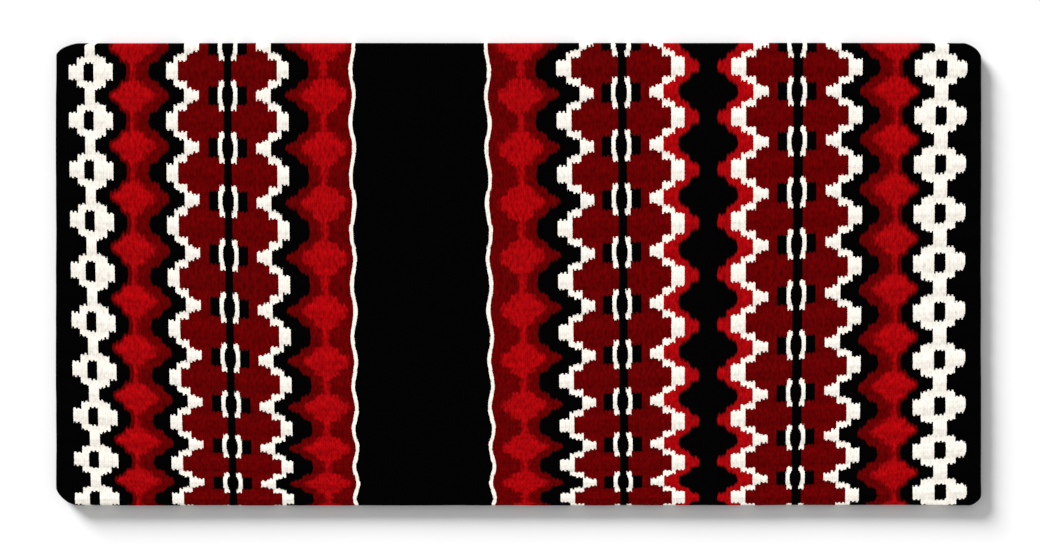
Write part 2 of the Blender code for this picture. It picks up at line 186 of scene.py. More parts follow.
STRIPES = (
    Stripe("front_border", 6.0 * MM, 1, "black", "black_wool"),
    Stripe("front_chain", 36.9 * MM, 1, "front_chain", "cream_wool"),
    Stripe("front_outer_red", 86.6 * MM, 1, "outer_red", "red_wool"),
    Stripe("front_medallion", 178.2 * MM, 1, "front_medallion", "dark_red_wool"),
    Stripe("front_inner_red", 279.0 * MM, 1, "inner_red", "red_wool"),
    Stripe("front_line", 308.5 * MM, 1, "line", "cream_wool"),
    Stripe("saddle_field", 378.2 * MM, 1, "black", "black_wool"),
    Stripe("rear_line", 450.6 * MM, -1, "line", "cream_wool"),
    Stripe("rear_inner_red", 484.8 * MM, -1, "inner_red", "red_wool"),
    Stripe("rear_medallion_fore", 588.9 * MM, 1, "fore_medallion", "dark_red_wool"),
    Stripe("rear_diamond", 679.0 * MM, 1, "diamond", "black_wool"),
    Stripe("rear_medallion_aft", 771.4 * MM, -1, "aft_medallion", "dark_red_wool"),
    Stripe("rear_outer_red", 866.8 * MM, -1, "outer_red", "red_wool"),
    Stripe("rear_chain", 920.3 * MM, -1, "rear_chain", "cream_wool"),
    Stripe("rear_border", 956.5 * MM, -1, "black", "black_wool"),
)

# Charts of the motifs: distance from the motif's middle in millimetres, and the share of a
# repeat, from the eye at 0 to the notch at 0.5, where each step of the outline turns, or
# NEVER where it doesn't
CHART_SPAN = 70
NEVER = 1


def mirrored(steps):
    """A whole stepped outline from its right side."""
    heights = [NEVER] + [height for _, height in steps]
    left = [(-place, height) for (place, _), height in zip(steps, heights)]
    return ((-CHART_SPAN, 0), *reversed(left), *steps)


FRONT_CHAIN_STEPS = (
    (-35, 0), (-23.4, 0.155), (-14.8, 0.295), (-12, 0.312), (-10.5, 0.322), (-6.7, NEVER),
    (3.8, 0.37), (7, 0.35), (9, 0.333), (10.2, 0.31), (14.9, 0.17), (22.3, 0))
FRONT_EYE_STEPS = ((-35, 0), (-8.1, 0.165), (-6.6, 0.2), (2.3, 0))
REAR_CHAIN_STEPS = (
    (-35, 0), (-26.6, 0.1), (-25.8, 0.15), (-24.3, 0.182), (-16, 0.3), (-14.3, 0.325),
    (-7.2, NEVER), (6.6, 0.362), (12.8, 0.34), (14.7, 0.32), (19.3, 0.172), (27.5, 0))
REAR_EYE_STEPS = ((-35, 0), (-6.2, 0.17), (-4.8, 0.197), (5.5, 0))
FRONT_FIELD_STEPS = mirrored(
    ((29.9, 0.407), (36.2, 0.372), (37.9, 0.355), (42.5, 0.21), (51.8, 0)))
FRONT_ZIGZAG_STEPS = mirrored(
    ((45.3, 0.362), (50, 0.335), (52, 0.305), (56.3, 0.168), (63.9, 0)))
FORE_FIELD_STEPS = (
    (-70, 0), (-51.8, 0.21), (-41.6, 0.355), (-37, 0.372), (-35.3, 0.407), (-28.9, NEVER),
    (28.9, 0.407), (35.3, 0.372), (37, 0.355), (41.6, 0.21), (51.1, 0))
FORE_ZIGZAG_STEPS = (
    (-70, 0), (-67.1, 0.155), (-56.6, 0.3), (-52, 0.325), (-50, 0.352), (-43.1, NEVER),
    (43.1, 0.352), (49.3, 0.3), (54.9, 0.195), (64.9, 0))
AFT_FIELD_STEPS = mirrored(((29.9, 0.407), (37.3, 0.36), (43.2, 0.205), (53.4, 0)))
AFT_ZIGZAG_STEPS = (
    (-70, 0), (-67.7, 0.172), (-58.5, 0.295), (-54, 0.325), (-52, 0.345), (-45.6, NEVER),
    (45.6, 0.345), (51.9, 0.295), (58.5, 0.178), (68.6, 0))
BAR_STEPS = ((0, NEVER), (3.3, 0.212), (8.9, 0.34), (10.1, NEVER))
BAR_NOTCH_STEPS = ((0, 0.212), (3.3, 0.305), (4.4, 0.355), (5.4, 0.41), (5.9, NEVER))
SQUARE_STEPS = ((0, NEVER), (8.9, 0.315), (20.2, NEVER))

# Outlines of the reds: short risers between the steps, each with a soft edge. The outlines
# run over the distance from the motif's middle, and the edges over the share of a repeat
OUTER_RED_OUTLINE = (
    (-35, 0.65), (-31.8, 0.56), (-30.6, 0.43), (-28.3, 0.4), (-25.3, 0.365), (-22, 0.33),
    (-20.9, 0.3), (-19.7, 0.215), (-17.6, 0.19), (-14.3, 0.175), (-13.4, 0.1), (-12.4, -0.1),
    (5, -0.05), (9.3, 0.01), (11.2, 0.155), (13, 0.185), (17.2, 0.202), (20, 0.222),
    (21.2, 0.3), (22.2, 0.33), (24.9, 0.365), (27.7, 0.4), (30, 0.43), (31.2, 0.56), (35, 0.65))
OUTER_BRIGHT_OUTLINE = (
    (0, -0.3), (7.5, -0.1), (8.8, 0), (9.9, 0.17), (11, 0.215), (16.9, 0.245), (18.3, 0.27),
    (19.5, 0.35), (20.5, 0.375), (23.3, 0.405), (26.5, 0.44), (29, 0.5), (31, 0.65))
OUTER_BRIGHT_EDGE = (
    (0, -6), (0.15, -5), (0.2, -1.5), (0.24, 3.6), (0.31, 5), (0.34, 6.8), (0.38, 11),
    (0.43, 14.2), (0.5, 16))
GROUND_OUTLINE = (
    (0, -0.3), (14, -0.1), (15.6, 0.01), (16.7, 0.165), (18, 0.2), (22, 0.222), (25, 0.25),
    (26.6, 0.28), (27.9, 0.34), (29, 0.378), (34.8, 0.404), (37.5, 0.44), (40, 0.47),
    (41.6, 0.56), (44, 0.65))
INNER_BRIGHT_EDGE = (
    (0, 2.8), (0.165, 3.2), (0.19, 5.5), (0.205, 9.5), (0.225, 12.3), (0.335, 13.8), (0.352, 16),
    (0.37, 20.5), (0.4, 21.8), (0.5, 22.8))
OTHER_BRIGHT_EDGE = (
    (0, 3.2), (0.16, 3.4), (0.185, 5), (0.205, 9), (0.225, 10.8), (0.33, 12.8), (0.35, 14.5),
    (0.372, 18.5), (0.41, 20.5), (0.44, 22.8), (0.5, 23.2))
DIAMOND_OUTLINE = (
    (0, -0.3), (7.8, -0.1), (9.3, 0), (10.3, 0.1), (11.5, 0.118), (15.5, 0.122), (17.6, 0.135),
    (18.5, 0.165), (19.8, 0.25), (21.5, 0.272), (25, 0.305), (27.5, 0.335), (29.5, 0.37),
    (30.6, 0.43), (31.6, 0.56), (35, 0.65))

# Widths over which the reds change, as shares of a repeat and in millimetres
FADE = 0.055
DIAMOND_FADE = 0.085
OUTER_BRIGHT_FADE = 11
GROUND_SIDE_FADE = 7
INNER_BRIGHT_FADE = 6
BRIGHT_RAGGED = 6
DIAMOND_SHIFT = -0.4

# Wavy lines beside the saddle field: how far they wave, the least half of their width and
# how much a bead of weft may add to it
LINE_WAVE = 1.8
LINE_LEAST = 1.5
LINE_RAGGED = 0.85

# Yarn: the width of a pick in millimetres, the shares of a repeat by which every other pick
# and each bead stand off, and how far fibres fray across and along the picks
PICK_WIDTH = 2.08
TOOTH = 0.027
RAGGED_TOOTH = 0.016
FRAY_ACROSS = 0.9
FRAY_ALONG = 0.018
FIBRES_PER_REPEAT = 50

# Keeps the middle of an eye and of a notch off the turns of their outlines
JUST_PAST = 0.001

# Layout of a material's nodes in the editor
NODES_TO_A_ROW = 12
NODE_WIDTH = 180
NODE_HEIGHT = 220

# Sockets of the node groups that don't hold a number
SOCKET_KINDS = {"Count": "NodeSocketVector", "Dye": "NodeSocketColor", "Colour": "NodeSocketColor"}

# Scale and detail of the noise in the frayed ends, the hairs and the streaks of the dye
FRAY_NOISE = (0.75, 2)
HAIR_NOISE = (2.2, 4)
STREAK_NOISE = (1, 3)

# Relief of a bead: how square its crown is, the height of its ends, the hairs on it and the
# swell of the rows under it, and the strength and distance of the bump that shows them
CROWN_ACROSS = 2
CROWN_ALONG = 3
BEAD_END = 0.4
HAIR_RELIEF = 0.35
SWELL_RELIEF = 2.2
BEAD_BUMP = (0.4, 0.5 * MM)
CORD_BUMP = (0.5, 0.2 * MM)

# Dye and painted shade: how close together its streaks lie, how much the dye varies along the yarns
# and from bead to bead, how much painted shade darkens it in the grooves, and how much less this
# shows in a pale yarn
STREAKS_ACROSS = 0.34
STREAKS_PER_REPEAT = 9
STREAK_DEPTH = 1.35
SPECK_DEPTH = 0.22
# Strength of the painted shade that darkens the colour in the grooves between beads
GROOVE_SHADE_DEPTH = -0.32
PALE_DEPTH = -0.7
LEAST_ROUGHNESS = 0.84
MORE_ROUGHNESS = 0.12
WOOL_SPECULAR = 0.02

# Medallions: the charts of the cream zigzag and of the field within it, whether one side has a
# red outline, how far its bars sit off its middle, and where its black line begins and ends
Medallion = namedtuple("Medallion", "zigzag field outlined shift line_from line_to")
FRONT_MEDALLION = Medallion(FRONT_ZIGZAG_STEPS, FRONT_FIELD_STEPS, False, 0.45, -3.6, 4.7)
FORE_MEDALLION = Medallion(FORE_ZIGZAG_STEPS, FORE_FIELD_STEPS, True, -0.1, -3.4, 5.6)
AFT_MEDALLION = Medallion(AFT_ZIGZAG_STEPS, AFT_FIELD_STEPS, True, 0.6, -5.7, 4.7)

# Stage: how many pixels the camera aims off the middle of the cloth, and the strength, spread in
# degrees and direction of each lamp
PHOTO_WIDTH = 1040
MM_PER_PIXEL = 1.0405
AIM_SHIFT = 1.5
CAMERA_LENS = 100
SENSOR_WIDTH = 36
FAR_CLIP = 50
FLOOR_SIZE = 6
FLOOR_GAP = 0.2 * MM
FLOOR_GREY = 0.9
STUDIO_LIGHT = 0.49
Lamp = namedtuple("Lamp", "name strength spread towards")
SOFT_KEY = Lamp("soft_key", 2.65, 40, (-0.45, 0.8, 1.0))
FLOOR_WASH = Lamp("floor_wash", 6.0, 24, (-1.75, 2.05, 1.0))


class BlanketSizes(bpy.types.PropertyGroup):
    """Sizes of the cloth that a user may change."""

    rib_relief: bpy.props.FloatProperty(
        name="Rib relief", description="Depth of the valleys between the covered warps",
        default=0.18 * MM, min=0, max=2 * MM, unit="LENGTH", precision=5)
    ridge_relief: bpy.props.FloatProperty(
        name="Ridge relief", description="Depth of the swales between the rows of motifs",
        default=0.8 * MM, min=0, max=3 * MM, unit="LENGTH", precision=5)
    lift: bpy.props.FloatProperty(
        name="Lift", description="How far the cloth rises off the floor where it isn't flat",
        default=1.6 * MM, min=0, max=10 * MM, unit="LENGTH", precision=4)
    edge_wobble: bpy.props.FloatProperty(
        name="Edge wobble", description="How far the selvages and hems stray from straight",
        default=0.7 * MM, min=0, max=5 * MM, unit="LENGTH", precision=4)
    selvage_diameter: bpy.props.FloatProperty(
        name="Selvage cord", description="Diameter of the cord woven in along each hem",
        default=2.4 * MM, min=0.5 * MM, max=4 * MM, unit="LENGTH", precision=4)


class BlanketColours(bpy.types.PropertyGroup):
    """Dyes of the yarns."""

    cream: bpy.props.FloatVectorProperty(
        name="Cream", description="Undyed yarn of the chains and zigzags",
        subtype="COLOR", size=3, default=(0.925, 0.875, 0.792), min=0, max=1)
    red: bpy.props.FloatVectorProperty(
        name="Red", description="Bright red yarn of the tufts",
        subtype="COLOR", size=3, default=(0.376, 0.0016, 0.003), min=0, max=1)
    dark_red: bpy.props.FloatVectorProperty(
        name="Dark red", description="Dark red yarn of the medallions",
        subtype="COLOR", size=3, default=(0.122, 0.0003, 0.0006), min=0, max=1)
    black: bpy.props.FloatVectorProperty(
        name="Black", description="Black yarn of the ground",
        subtype="COLOR", size=3, default=(0.0004, 0.0003, 0.0004), min=0, max=1)


def sizes():
    """The scene's sizes."""
    return bpy.context.scene.blanket_sizes


def dye(name):
    """The colour of a yarn."""
    return tuple(getattr(bpy.context.scene.blanket_colours, name))


def side_name(flap):
    """What the nodes of a flap are called: 1 is the near flap and -1 the off flap."""
    return "near" if flap > 0 else "off"


# Weave: where each warp and pick lies


def lean(place):
    """Place along the blanket as -1 at the front edge and 1 at the rear edge."""
    return 2 * place / BLANKET_LENGTH - 1


def repeat_at(place, row):
    """Count of repeats at a row, which is 0 at the crest and 1 at the hem."""
    side = lean(place)
    hem = HEM_REPEAT + HEM_REPEAT_LEAN * side + HEM_REPEAT_BOW * side * side
    return CREST_REPEAT + (hem - CREST_REPEAT) * row


def path_at(place, row):
    """Distance along the cloth from the crest to a row."""
    side = lean(place)
    to_crest = PACKING[0] + PACKING[1] * side
    to_hem = PACKING_TO_HEM[0] + PACKING_TO_HEM[1] * side + PACKING_TO_HEM[2] * side * side
    return FLAP_PATH * (row + row * (1 - row) * (to_crest + row * to_hem))


def corner_inset(corner, distance):
    """How far a rounded corner takes in the end of the cloth, at a distance from its edge."""
    width, depth = corner
    if distance >= depth:
        return 0
    share = 1 - max(distance, 0) / depth
    return width * (1 - (1 - share ** CORNER_POWER) ** (1 / CORNER_POWER))


def wobble(along, seed):
    """A slow, smooth stray from a straight edge."""
    slow = noise.noise(Vector((along * SLOW_STRAY, seed, SLOW_SEED)))
    quick = noise.noise(Vector((along * QUICK_STRAY, seed, QUICK_SEED)))
    return sizes().edge_wobble * (slow + QUICK_SHARE * quick)


def edge_inset(along, seed):
    """How far the edge of the cloth lies inside its box."""
    return max(0, wobble(along, seed) + EDGE_MARGIN)


def plan_y(path):
    """Depth seen from above of a point on the outside of the cloth."""
    if path >= BEND_PATH:
        return FOLD_Y - (path - BEND_PATH)
    return FOLD_Y + (BEND_RADIUS + HALF_THICKNESS) * math.cos(path / BEND_RADIUS)


def cloth_ends(path, flap):
    """Front and rear end of the cloth at a distance from the crest."""
    y = plan_y(path)
    to_hem, to_fold = y - HEM_Y, CREST_Y - y
    apart = 0 if flap > 0 else OFF_STRAY * min(1, path / STRAYS_APART)
    front = FRONT_X + edge_inset(path, FRONT_STRAY + apart)
    front += corner_inset(FRONT_HEM_CORNER, to_hem) + corner_inset(FRONT_FOLD_CORNER, to_fold)
    rear = REAR_X - edge_inset(path, REAR_STRAY + apart)
    rear -= corner_inset(REAR_HEM_CORNER, to_hem) + corner_inset(REAR_FOLD_CORNER, to_fold)
    return front, rear


def curve_through(values, share):
    """A point of the smooth curve through evenly spaced values, at a share of its length."""
    last = len(values) - 1
    total = 0
    for index, value in enumerate(values):
        for other in range(last + 1):
            if other != index:
                value *= (share * last - other) / (index - other)
        total += value
    return total


def drift_and_slip(place, path):
    """How far a stripe drifts to the rear and its motifs slip to the hem."""
    here = place / MM
    spot = min(max(bisect.bisect([known.place for known in STRAYS], here), 1), len(STRAYS) - 1)
    before, after = STRAYS[spot - 1], STRAYS[spot]
    between = min(max((here - before.place) / (after.place - before.place), 0), 1)
    strays = []
    for first, second in ((before.drift, after.drift), (before.slip, after.slip)):
        start = curve_through(first, path / FLAP_PATH)
        end = curve_through(second, path / FLAP_PATH)
        strays.append((start + (end - start) * between) * MM)
    return strays


def count_at(place, row):
    """Count of repeats of the motif at a row, as it strays."""
    slip = drift_and_slip(place, path_at(place, row))[1]
    return repeat_at(place, row) - slip / (REPEAT_LENGTH * MM)


def join_place(index, row):
    """Nominal place of a join, with its weaving to and fro, at a row."""
    if index < 0:
        return 0
    if index >= len(JOINS):
        return BLANKET_LENGTH
    join = JOINS[index]
    return join.place + join.wave * math.cos(2 * math.pi * count_at(join.place, row))


def stripe_width(index):
    """Width of a stripe, evened out over its weaving to and fro."""
    places = [0, *(join.place for join in JOINS), BLANKET_LENGTH]
    return places[index + 1] - places[index]


def join_x(index, row, flap):
    """Where a join runs on the cloth, kept inside its ends."""
    place = join_place(index, row)
    path = path_at(place, row)
    front, rear = cloth_ends(path, flap)
    if index < 0:
        return front
    if index >= len(JOINS):
        return rear
    x = FRONT_X + place + drift_and_slip(place, path)[0]
    return min(max(x, front + LEAST_BORDER), rear - LEAST_BORDER)


def rolled_half_thickness(distance):
    """Half the cloth's thickness at a distance from its edge, where the yarn rolls over."""
    if distance >= EDGE_ROLL:
        return HALF_THICKNESS
    distance = max(distance, 0)
    return HALF_THICKNESS - EDGE_ROLL + math.sqrt(EDGE_ROLL ** 2 - (EDGE_ROLL - distance) ** 2)


def eased(share):
    """A share kept between 0 and 1, which leaves and reaches them gently."""
    share = min(max(share, 0), 1)
    return share * share * (3 - 2 * share)


def lift_at(x, y):
    """How far the cloth rises off the floor, and nothing near the fold."""
    hump = noise.noise(Vector((x * LIFT_HUMPS, y * LIFT_HUMPS, LIFT_SEED)))
    return sizes().lift * eased(hump * 0.5 + LIFT_MIDDLE) * eased((FOLD_Y - y) / LIFT_REACH)


def cloth_point(x, path, repeat, layer, flap):
    """A point of the folded cloth, on its outer (1) or inner (-1) face."""
    if path >= BEND_PATH:
        middle = Vector((x, FOLD_Y - (path - BEND_PATH), MIDDLE_Z + flap * BEND_RADIUS))
        outward = Vector((0, 0, flap))
    else:
        turn = path / BEND_RADIUS
        outward = Vector((0, math.cos(turn), flap * math.sin(turn)))
        middle = Vector((x, FOLD_Y, MIDDLE_Z)) + BEND_RADIUS * outward
    front, rear = cloth_ends(path, flap)
    half = rolled_half_thickness(min(x - front, rear - x, FLAP_PATH - path))
    valley = 0.5 - 0.5 * math.cos(2 * math.pi * BEADS_PER_REPEAT * repeat)
    swell = 0.5 - 0.5 * math.cos(2 * math.pi * RIDGES_PER_REPEAT * repeat)
    settle = half / HALF_THICKNESS
    height = half - (sizes().rib_relief * valley + sizes().ridge_relief * swell) * settle
    point = middle + outward * layer * height
    if path > FLAP_PATH - EDGE_ROLL:
        point.y += edge_inset(x, HEM_STRAYS[flap])
    point.z += lift_at(x, point.y)
    return point


def weave_rows():
    """Rows from the crest to the hem, close together round the bend and at the rolled hem."""
    beads = int(round((HEM_REPEAT - CREST_REPEAT) * BEADS_PER_REPEAT))
    even = beads * ROWS_PER_BEAD
    bend_end = BEND_PATH / FLAP_PATH / (1 + PACKING[0])
    rows = [bend_end * step / BEND_ROWS for step in range(BEND_ROWS)]
    roll_start = 1 - ROLLED_ROWS[0] - 0.5 / even
    rows += [step / even for step in range(even) if bend_end < step / even < roll_start]
    rows += [1 - step for step in ROLLED_ROWS]
    return rows


def weave_columns(index):
    """Shares across a stripe where its columns stand, closer at the ends of the cloth."""
    if index in (0, len(STRIPES) - 1):
        columns = BORDER_COLUMNS
    elif index in (1, len(STRIPES) - 2):
        columns = CHAIN_COLUMNS
    else:
        count = max(2, int(round(stripe_width(index) / COLUMN_WIDTH)))
        columns = [step / count for step in range(count + 1)]
    if index > len(STRIPES) / 2:
        columns = [1 - share for share in reversed(columns)]
    return columns


def put(name, data):
    """Put a new object in the scene."""
    placed = bpy.data.objects.new(name, data)
    bpy.context.scene.collection.objects.link(placed)
    return placed


def show(name, shape, material):
    """Put a finished shape in the scene."""
    mesh = bpy.data.meshes.new(name)
    shape.to_mesh(mesh)
    shape.free()
    mesh.materials.append(material)
    return put(name, mesh)


def weave_piece(index, flap):
    """One stripe of one flap: a grid of warps and picks, given its thickness and folded."""
    stripe = STRIPES[index]
    rows, columns = weave_rows(), weave_columns(index)
    shape = bmesh.new()
    bmesh.ops.create_grid(shape, x_segments=len(columns) - 1, y_segments=len(rows) - 1, size=0.5)
    inner = set(shape.verts)
    bmesh.ops.extrude_face_region(shape, geom=shape.faces[:])
    yarn = shape.loops.layers.uv.new("yarn")
    counts = {}
    edges = [
        (join_x(index - 1, row, flap), join_x(index, row, flap),
         join_place(index - 1, row), join_place(index, row)) for row in rows]
    last_column, last_row = len(columns) - 1, len(rows) - 1
    seams = set()
    for vertex in shape.verts:
        column = int(round((vertex.co.x + 0.5) * last_column))
        number = int(round((vertex.co.y + 0.5) * last_row))
        row, share = rows[number], columns[column]
        x_from, x_to, place_from, place_to = edges[number]
        x = x_from + (x_to - x_from) * share
        place = place_from + (place_to - place_from) * share
        repeat = count_at(place, row)
        layer = -1 if vertex in inner else 1
        vertex.co = cloth_point(x, path_at(place, row), repeat, layer, flap)
        counts[vertex] = ((place - stripe.centre) / MM * stripe.facing, repeat)
        front_join = column == 0 and index > 0
        rear_join = column == last_column and index < len(STRIPES) - 1
        if number == 0 or front_join or rear_join:
            seams.add(vertex)
    for face in shape.faces:
        face.smooth = True
        for corner in face.loops:
            corner[yarn].uv = counts[corner.vert]
    for edge in shape.edges:
        if edge.verts[0] in seams and edge.verts[1] in seams:
            edge.smooth = False
    bmesh.ops.recalc_face_normals(shape, faces=shape.faces)
    name = side_name(flap) + "_" + stripe.name + "_weave"
    return show(name, shape, wool(stripe.finish))


def hang_piece(piece, index, flap):
    stripe, side = STRIPES[index], side_name(flap)
    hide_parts(side + "_" + stripe.name)
    if flap > 0:
        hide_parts("spine_" + stripe.name)
    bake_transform(piece)


def weave_stripes(names):
    """Weave both flaps of the named stripes, and return the pieces."""
    pieces = {}
    for index, stripe in enumerate(STRIPES):
        if stripe.name not in names:
            continue
        for flap in (1, -1):
            piece = weave_piece(index, flap)
            hang_piece(piece, index, flap)
            pieces[stripe.name, flap] = piece
    return pieces


def lay_selvage_cord(flap):
    """The cord of two twisted plies that the wefts turn round, inside the hem of a flap."""
    side = side_name(flap)
    low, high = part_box(side + "_selvage_warp")
    middle = (low + high) / 2
    steps = int(round((high.x - low.x) / CORD_STEP))
    shape = bmesh.new()
    bmesh.ops.create_circle(
        shape, cap_ends=True, radius=sizes().selvage_diameter / 2, segments=CORD_SIDES)
    bmesh.ops.scale(shape, vec=(1, PLY_FLATNESS, 1), verts=shape.verts)
    bmesh.ops.rotate(shape, matrix=Matrix.Rotation(math.pi / 2, 3, "Y"), verts=shape.verts)
    bmesh.ops.translate(shape, vec=(low.x, middle.y, middle.z), verts=shape.verts)
    bmesh.ops.spin(
        shape, geom=shape.verts[:] + shape.edges[:] + shape.faces[:], cent=middle, axis=(1, 0, 0),
        dvec=((high.x - low.x) / steps, 0, 0), angle=steps * CORD_STEP / CORD_LAY * 2 * math.pi,
        steps=steps)
    for vertex in shape.verts:
        vertex.co.y += edge_inset(vertex.co.x, HEM_STRAYS[flap])
        vertex.co.z += lift_at(vertex.co.x, vertex.co.y)
    for face in shape.faces:
        face.smooth = len(face.verts) == 4
    bmesh.ops.recalc_face_normals(shape, faces=shape.faces)
    if not all(edge.is_manifold for edge in shape.edges):
        raise RuntimeError("The cord of the " + side + " hem has an open end")
    cord = show(side + "_selvage_cord", shape, plied_wool())
    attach(cord, side + "_side")
    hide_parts(side + "_selvage_warp")


# Materials


class Wiring:
    """Adds nodes to a tree, from left to right, and links them."""

    def __init__(self, tree):
        self.tree = tree
        self.count = 0

    def node(self, kind, feeds=None, **settings):
        """Add a node, set its properties and feed its inputs."""
        made = self.tree.nodes.new(kind)
        row, column = divmod(self.count, NODES_TO_A_ROW)
        made.location = (column * NODE_WIDTH, -row * NODE_HEIGHT)
        self.count += 1
        for name, value in settings.items():
            setattr(made, name, value)
        for socket, value in (feeds or {}).items():
            self.feed(made.inputs[socket], value)
        return made

    def feed(self, socket, value):
        """Link a socket to an input, or set the input's own value."""
        if isinstance(value, bpy.types.NodeSocket):
            self.tree.links.new(value, socket)
        elif hasattr(value, "__len__"):
            socket.default_value = (*value, 1)[:len(socket.default_value)]
        else:
            socket.default_value = value

    def math(self, operation, *values):
        """A Math node's result."""
        feeds = dict(enumerate(values))
        return self.node("ShaderNodeMath", feeds, operation=operation).outputs[0]

    def mix(self, share, first, second, blend="MIX"):
        """A colour between two others, or blended from them."""
        feeds = {0: share, 6: first, 7: second}
        return self.node("ShaderNodeMix", feeds, data_type="RGBA", blend_type=blend).outputs[2]

    def steps(self, value, span, stops):
        """A stepped outline: the height of the last stop that has been passed."""
        return self.ramp(value, span, stops, "CONSTANT")

    def curve(self, value, span, stops, low, high):
        """An outline that runs straight from stop to stop, between a low and a high value."""
        stops = [(place, (height - low) / (high - low)) for place, height in stops]
        return self.math("MULTIPLY_ADD", self.ramp(value, span, stops, "LINEAR"), high - low, low)

    def ramp(self, value, span, stops, kind):
        """A Color Ramp node with the given stops."""
        made = self.node("ShaderNodeValToRGB")
        ramp = made.color_ramp
        ramp.interpolation = kind
        while len(ramp.elements) < len(stops):
            ramp.elements.new(1)
        start = min(stops[0][0], 0)
        for element, (place, height) in zip(ramp.elements, stops):
            element.position = (place - start) / span
            element.color = (height, height, height, 1)
        self.feed(made.inputs[0], self.math("DIVIDE", self.math("SUBTRACT", value, start), span))
        return made.outputs[0]

    def noise(self, place, kind):
        """A Noise Texture on a flat pattern, of a scale and a detail."""
        feeds = {"Vector": place, "Scale": kind[0], "Detail": kind[1]}
        return self.node("ShaderNodeTexNoise", feeds, noise_dimensions="2D")

    def off_even(self, value, depth, level=0):
        """A level that a random value between 0 and 1 raises or lowers, by up to half a depth."""
        return self.math("MULTIPLY_ADD", self.math("SUBTRACT", value, 0.5), depth, level)

    def off_crown(self, count):
        """How far a count lies from the middle between two whole numbers, from 0 to 1."""
        away = self.math("SUBTRACT", self.math("MULTIPLY", self.math("FRACT", count), 2), 1)
        return self.math("ABSOLUTE", away)

    def joined(self, first, second):
        """A place on a flat pattern."""
        return self.node("ShaderNodeCombineXYZ", {0: first, 1: second}).outputs[0]

    def ease(self, value, width):
        """From 0 to 1 as a value rises through 0, over a width."""
        feeds = {"Value": value, "From Min": -width / 2, "From Max": width / 2}
        return self.node("ShaderNodeMapRange", feeds, interpolation_type="SMOOTHSTEP").outputs[0]

    def group(self, name, **values):
        """Place a node group and feed its inputs."""
        feeds = {socket.capitalize(): value for socket, value in values.items()}
        return self.node("ShaderNodeGroup", feeds, node_tree=bpy.data.node_groups[name])


def new_group(name, inputs, outputs):
    """A shader node group with named sockets, its wiring and what it is given."""
    tree = bpy.data.node_groups.new(name, "ShaderNodeTree")
    for way, sockets in (("INPUT", inputs), ("OUTPUT", outputs)):
        for socket in sockets:
            kind = SOCKET_KINDS.get(socket, "NodeSocketFloat")
            tree.interface.new_socket(name=socket, in_out=way, socket_type=kind)
    wires = Wiring(tree)
    return wires, wires.node("NodeGroupInput").outputs


def make_weave_group():
    """Picks and beads: frays the yarn count at the beads' ends, and shapes each bead of weft."""
    wires, given = new_group(
        "weft_beads", ("Count",), ("Across", "Repeat", "Height", "Swell", "Streak", "Fleck"))
    split = wires.node("ShaderNodeSeparateXYZ", {0: given["Count"]})
    across, repeat = split.outputs[0], split.outputs[1]
    fibres = wires.joined(across, wires.math("MULTIPLY", repeat, FIBRES_PER_REPEAT))
    fray = wires.noise(fibres, FRAY_NOISE).outputs["Color"]
    frays = wires.node("ShaderNodeSeparateColor", {0: fray})
    across_frayed = wires.off_even(frays.outputs[0], FRAY_ACROSS, across)
    repeat_frayed = wires.off_even(frays.outputs[1], FRAY_ALONG, repeat)

    picks = wires.math("DIVIDE", across, PICK_WIDTH)
    pick = wires.math("FLOOR", picks)
    odd = wires.math("FLOORED_MODULO", pick, 2)
    beads = wires.math(
        "MULTIPLY_ADD", odd, 0.5, wires.math("MULTIPLY", repeat, BEADS_PER_REPEAT))
    bead = wires.joined(pick, wires.math("FLOOR", beads))
    chance = wires.node("ShaderNodeTexWhiteNoise", {"Vector": bead}, noise_dimensions="2D")
    ragged = wires.off_even(chance.outputs["Value"], RAGGED_TOOTH)
    tooth = wires.off_even(odd, TOOTH, ragged)

    fall_across = wires.math("POWER", wires.off_crown(picks), CROWN_ACROSS)
    round_across = wires.math("SUBTRACT", 1, fall_across)
    fall_along = wires.math("POWER", wires.off_crown(beads), CROWN_ALONG)
    round_along = wires.math("SUBTRACT", 1, fall_along)
    ends = wires.math("MULTIPLY_ADD", round_along, 1 - BEAD_END, BEAD_END)
    crown = wires.math("MULTIPLY", wires.math("SQRT", round_across), ends)
    hairs = wires.noise(fibres, HAIR_NOISE).outputs[0]
    height = wires.math("MULTIPLY_ADD", hairs, HAIR_RELIEF, crown)

    turns = wires.math("MULTIPLY", repeat, 2 * math.pi * RIDGES_PER_REPEAT)
    blotches = wires.joined(
        wires.math("MULTIPLY", across_frayed, STREAKS_ACROSS),
        wires.math("MULTIPLY", repeat, STREAKS_PER_REPEAT))
    wires.node("NodeGroupOutput", {
        "Across": across_frayed, "Repeat": wires.math("ADD", repeat_frayed, tooth),
        "Height": height, "Swell": wires.math("COSINE", turns),
        "Streak": wires.noise(blotches, STREAK_NOISE).outputs[0],
        "Fleck": chance.outputs["Value"]})


def make_share_group():
    """Where a repeat count falls within the motif: 0 at the eye and 0.5 at the notch."""
    wires, given = new_group("motif_share", ("Repeat",), ("Share",))
    nearest = wires.math("ROUND", given["Repeat"])
    away = wires.math("ABSOLUTE", wires.math("SUBTRACT", given["Repeat"], nearest))
    wires.node("NodeGroupOutput", {"Share": wires.math("ADD", away, JUST_PAST)})


